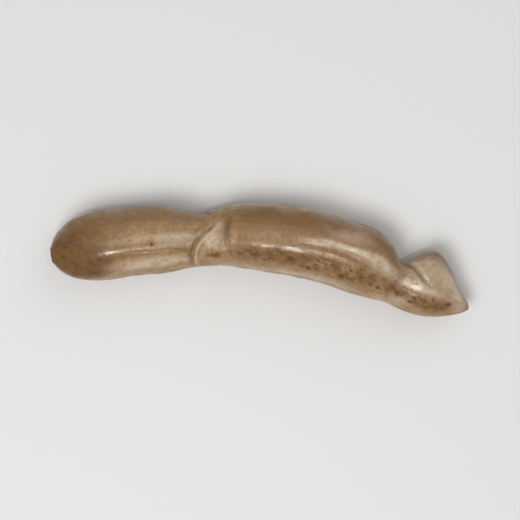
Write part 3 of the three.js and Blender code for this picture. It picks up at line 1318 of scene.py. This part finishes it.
def skin_material(mottle, streaks, speckles, crumbs):
    """The skin: tan with streaks, blotches, bloom and brown scurf, damp in places, with painted shade
    in its creases, wrinkles and on the upper flank, and painted highlights along the ridge, the lips
    and the pale streak.
    """
    material, tree, surface = new_material("tamarind_skin")
    place = node(tree, "ShaderNodeAttribute", attribute_name="straight_place").outputs["Vector"]

    def blotches(size, contrast, detail=3):
        inputs = {"Place": place, "Size": size, "Contrast": contrast, "Detail": detail}
        return use(tree, mottle, inputs)["Share"]

    def crumbly(size, level):
        return use(tree, crumbs, {"Place": place, "Size": size, "Level": level})["Mask"]

    def specks(size, share):
        return use(tree, speckles, {"Place": place, "Size": size, "Share": share})["Mask"]

    patchy = blotches(3.6, 3, 4)
    fine = blotches(0.8, 3.2, 4)
    lines = use(tree, streaks, {"Place": place})["Share"]
    ochre = ground(tree, "ochre", patchy, 0.35)
    # Pale bloom with painted highlight and painted reflected light.
    bloom = times(tree, ground(tree, "bloom", patchy, 0.4), 0.8)
    crust = ground(tree, "scurf", patchy, 0.45)
    stipple = times(tree, calc(tree, "MAXIMUM", crumbly(2.1, 0.48), specks(1.7, 0.32)), crust)
    # Where the painted highlight goes: the ridge crests and the tops of the lips.
    crest = times(tree, painted(tree, "crest"), 0.4, patchy)
    lip_highlight = times(tree, painted(tree, "lip"), 0.6)
    dot = clamped(calc(tree, "MULTIPLY_ADD", painted(tree, "dot"), 2.6, -0.7))
    ragged = calc(tree, "MULTIPLY_ADD", crumbly(0.9, 0.42), 0.3, 0.6)
    colour = layered(tree, TAN_DEEP, (
        (TAN_LIGHT, blotches(15, 2.2)),
        (TAN_STREAK, lines, 0.34),
        # Partly the skin's own tawny tone, partly painted shade on the upper flank and in a waist
        # hollow.
        (TAWNY, ground(tree, "tawny", patchy, 0.3), 0.8),
        (TAN_DEEP, patchy, 0.32),
        (TAWNY, fine, 0.42),
        (OCHRE, ochre),
        (OCHRE_LIGHT, ochre, crumbly(3.2, 0.47), 0.3),
        (SCURF_DARK, ochre, crumbly(1.7, 0.5), 0.4),
        # Pink skin, and a painted highlight on the ridge near the point.
        (PINK, ground(tree, "pink", patchy, 0.3), 0.7),
        # Pale bloom, with painted highlights and painted reflected light in places.
        (BLOOM_AND_HIGHLIGHT, bloom),
        (SCURF, crust, 0.72),
        (SCURF_DARK, stipple, 0.72),
        (TAN_STREAK, painted(tree, "ripple"), crumbly(1.9, 0.5), 0.5),
        (TAWNY, crumbly(2.6, 0.5), 0.3),
        (TAWNY, crumbly(0.8, 0.54), 0.3),
        (SCURF, specks(2.4, 0.22), 0.35),
        # Painted shade in the creases.
        (FOLD_SHADE, painted(tree, "fold"), 0.64),
        # Painted shade in the grooves of the wrinkles and furrows.
        (SCURF, painted(tree, "wrinkle"), 0.8),
        # Painted highlight along the ridge crests and the lips.
        (RIDGE_HIGHLIGHT, calc(tree, "MAXIMUM", crest, lip_highlight)),
        (SCURF_DARK, dot, ragged),
        (SCAR_BROWN, painted(tree, "scar"), 0.95),
    ))
    feed(tree, surface.inputs["Base Color"], colour)

    dry = painted(tree, "dry")
    rough = calc(tree, "MULTIPLY_ADD", patchy, 0.12, SKIN_ROUGHNESS)
    for mask, change in ((crust, 0.34), (bloom, 0.08), (dry, 0.2)):
        rough = calc(tree, "MULTIPLY_ADD", mask, change, rough)
    feed(tree, surface.inputs["Roughness"], rough)
    damp = calc(tree, "MULTIPLY_ADD", blotches(6, 5, 2), 0.6, 0.08)
    for mask, change in ((crust, -0.3), (dry, -0.6), (painted(tree, "wet"), 0.7)):
        damp = calc(tree, "MULTIPLY_ADD", mask, change, damp)
    feed(tree, surface.inputs["Coat Weight"], calc(tree, "MAXIMUM", damp, LEAST_DAMP))
    surface.inputs["Coat Roughness"].default_value = 0.16
    surface.inputs["IOR"].default_value = 1.45

    grain = calc(tree, "ADD", times(tree, fine, 0.6), times(tree, lines, 0.5))
    bumps(tree, surface, 0.5, 0.08 * MM, calc(tree, "ADD", grain, times(tree, stipple, 0.7)))
    return material


def flake_material(mottle, speckles):
    """The flakes: brown, each of its own tone, with pits."""
    material, tree, surface = new_material("tamarind_scurf")
    place = scaled(tree, node(tree, "ShaderNodeTexCoord").outputs["Object"], 1 / MM)
    patchy = use(tree, mottle, {"Place": place, "Size": 0.5, "Contrast": 2.4})["Share"]
    pits = use(tree, speckles, {"Place": place, "Size": 0.22, "Share": 0.5})["Mask"]
    colour = layered(tree, SCURF_BROWN, (
        (SCURF, painted(tree, "tone")),
        (TAN_DEEP, patchy, 0.35),
        (SCURF_DARK, pits, 0.3),
    ))
    feed(tree, surface.inputs["Base Color"], colour)
    feed(tree, surface.inputs["Roughness"], calc(tree, "MULTIPLY_ADD", patchy, 0.2, 0.5))
    bumps(tree, surface, 0.3, 0.04 * MM, calc(tree, "SUBTRACT", patchy, pits))
    return material


def make_table():
    """A plain pale floor far wider than the view."""
    mesh = bpy.data.meshes.new("table_top")
    corners = [(x * TABLE_HALF, y * TABLE_HALF, 0) for x, y in ((-1, -1), (1, -1), (1, 1), (-1, 1))]
    mesh.from_pydata(corners, [], [(0, 1, 2, 3)])
    material, _, surface = new_material("pale_table")
    surface.inputs["Base Color"].default_value = TABLE_PALE
    surface.inputs["Roughness"].default_value = 0.7
    mesh.materials.append(material)
    table = linked("table_top", mesh)
    table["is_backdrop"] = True


def make_lights():
    """Soft rectangular lights aimed at the pod, in a softly lit room."""
    for name, place, size, power in LIGHTS:
        data = bpy.data.lights.new(name, "AREA")
        data.shape = "RECTANGLE"
        data.size, data.size_y = size
        data.energy = power
        lamp = linked(name, data)
        lamp.location = place
        lamp.rotation_euler = (-Vector(place)).to_track_quat("-Z", "Y").to_euler()
    world = bpy.data.worlds.new("soft_room")
    world.use_nodes = True
    background = world.node_tree.nodes["Background"]
    background.inputs["Color"].default_value = ROOM_TONE
    background.inputs["Strength"].default_value = ROOM_STRENGTH
    bpy.context.scene.world = world
    bpy.context.scene.view_settings.view_transform = "Standard"


def make_camera():
    """Straight above the middle of the pod, with +Y up in the picture."""
    data = bpy.data.cameras.new("camera")
    data.lens = LENS
    data.sensor_width = SENSOR
    data.clip_start = CLIP_START
    camera = linked("camera", data)
    camera.location = (0, 0, PICTURE_WIDTH * LENS / SENSOR + REST_HEIGHT * MM)
    bpy.context.scene.camera = camera


def main():
    """Builds the pod, its scurf and what stands round it, puts the pieces on the root body and hides
    the CAD part pod that they stand for.
    """
    mottle = mottle_group()
    streaks = streak_group(mottle)
    speckles = speckle_group()
    skin = make_skin(skin_material(mottle, streaks, speckles, crumb_group()))
    scurf = make_scurf(skin, flake_material(mottle, speckles))
    for piece in (skin, scurf):
        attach(piece, "root")
    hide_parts("pod")
    make_table()
    make_lights()
    make_camera()


main()
boxes = {"cad": cad_box, "visual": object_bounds()}
{name: [list(corner) for corner in box] for name, box in boxes.items()}
